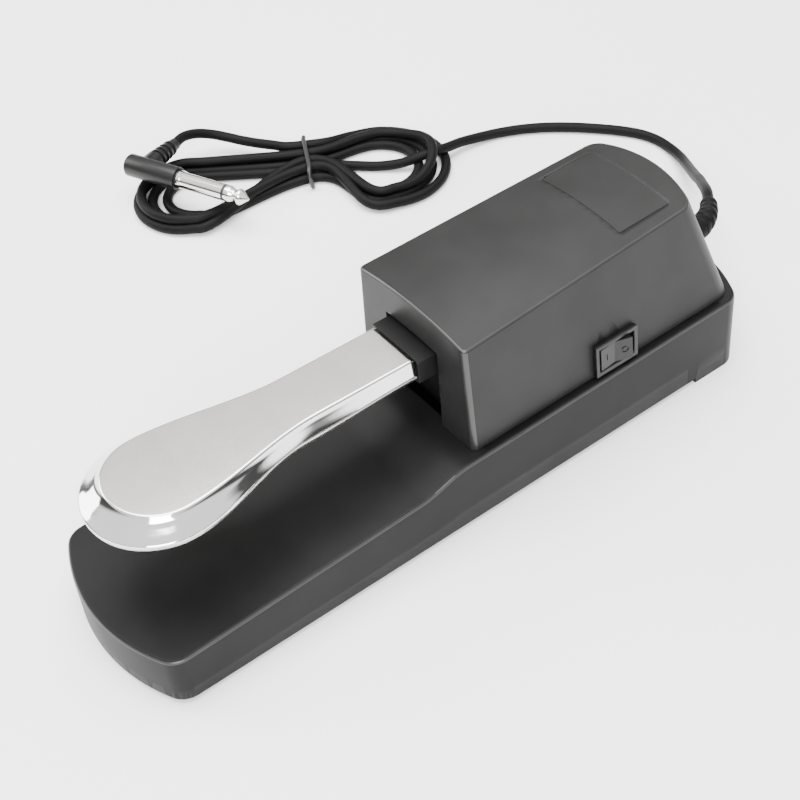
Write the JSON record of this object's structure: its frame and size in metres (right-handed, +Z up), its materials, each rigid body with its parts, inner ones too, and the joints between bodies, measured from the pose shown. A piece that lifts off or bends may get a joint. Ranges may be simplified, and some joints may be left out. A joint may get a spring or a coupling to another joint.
{
  "type": "sustain pedal",
  "caption": "Piano-style sustain pedal: a chrome lever hinged in a black housing on a long base, with a side polarity rocker, a tied cord and a right-angle plug.",
  "frame": {"origin": "on the floor, under the middle of the base", "axes": "+Z up, +Y from the lever's toe to the rear where the cord leaves, +X to the side that holds the polarity rocker"},
  "size_m": [0.2215, 0.2915, 0.0703],
  "materials": {
    "base_plastic": "fine-textured black ABS, satin",
    "housing_plastic": "fine-textured black ABS, satin",
    "plate_paint": "black painted steel",
    "zinc_steel": "bright zinc plate",
    "lever_chrome": "polished chrome plate with a satin top",
    "arm_plastic": "glass-filled black nylon",
    "bush_nylon": "natural nylon",
    "axle_steel": "ground steel",
    "clip_steel": "oiled spring steel",
    "bracket_steel": "zinc-plated pressed steel",
    "spring_steel": "drawn spring wire",
    "pad_rubber": "matt black rubber",
    "felt": "pressed red felt",
    "board_green": "green solder mask",
    "part_beige": "moulded beige",
    "switch_black": "gloss black nylon",
    "plunger_red": "moulded red",
    "terminal_brass": "tinned brass",
    "wire_sheath": "red insulation",
    "cord_sheath": "glossy black PVC sheath",
    "tie_plastic": "black coated wire tie",
    "plug_moulding": "satin black moulding",
    "plug_nickel": "polished nickel plate",
    "plug_ring": "black insulating ring"
  },
  "bodies": {
    "frame": {"base_body": "base_plastic", "bottom_plate": "plate_paint", "plate_screws": "zinc_steel", "front_pad": "pad_rubber", "rear_pad": "pad_rubber", "housing_cover": "housing_plastic", "housing_screws": "zinc_steel", "top_plate": "housing_plastic", "pivot_axle": "axle_steel", "axle_clips": "clip_steel", "pivot_bracket": "bracket_steel", "bracket_screws": "zinc_steel", "return_spring": "spring_steel", "spring_cup": "bush_nylon", "stop_strap": "bracket_steel", "strap_screws": "zinc_steel", "up_stop_felt": "felt", "down_stop_bumper": "pad_rubber", "switch_board": "board_green", "board_screws": "zinc_steel", "board_parts": "part_beige", "contact_switch_body": "switch_black", "polarity_switch_body": "switch_black", "polarity_terminals": "terminal_brass", "board_wires": "wire_sheath", "cord_clamp": "arm_plastic", "clamp_screws": "zinc_steel", "cord_inner": "cord_sheath", "strain_relief": "cord_sheath", "cord": "cord_sheath", "cord_hank": "cord_sheath", "cord_tie": "tie_plastic", "cord_end": "cord_sheath", "plug_boot": "plug_moulding", "plug_body": "plug_moulding", "plug_sleeve": "plug_nickel", "plug_insulator": "plug_ring", "plug_tip": "plug_nickel"},
    "lever": {"lever_shoe": "lever_chrome", "lever_arm": "arm_plastic", "shoe_screws": "zinc_steel", "pivot_bushes": "bush_nylon"},
    "plunger": {"contact_plunger": "plunger_red"},
    "rocker": {"polarity_rocker": "switch_black"}
  },
  "joints": [
    {"name": "lever_hinge", "type": "hinge", "parent": "frame", "child": "lever", "pos_m": [0, 0.08, 0.042], "axis": [1, 0, 0], "range_deg": [0, 5], "stiffness_Nm_per_rad": 10, "springref_deg": -5.16, "deforming": ["return_spring"]},
    {"name": "contact_slide", "type": "slide", "parent": "frame", "child": "plunger", "axis": [0, 0, 1], "range_m": [-0.0028, 0], "stiffness_N_per_m": 120, "springref_m": 0.002},
    {"name": "rocker_hinge", "type": "hinge", "parent": "frame", "child": "rocker", "pos_m": [0.02376, 0.056, 0.03248], "axis": [-0.0996, 0, 0.995], "range_deg": [0, 16]}
  ],
  "couplings": [
    {"joint": "contact_slide", "follows": "lever_hinge", "m_per_rad": -0.03}
  ]
}
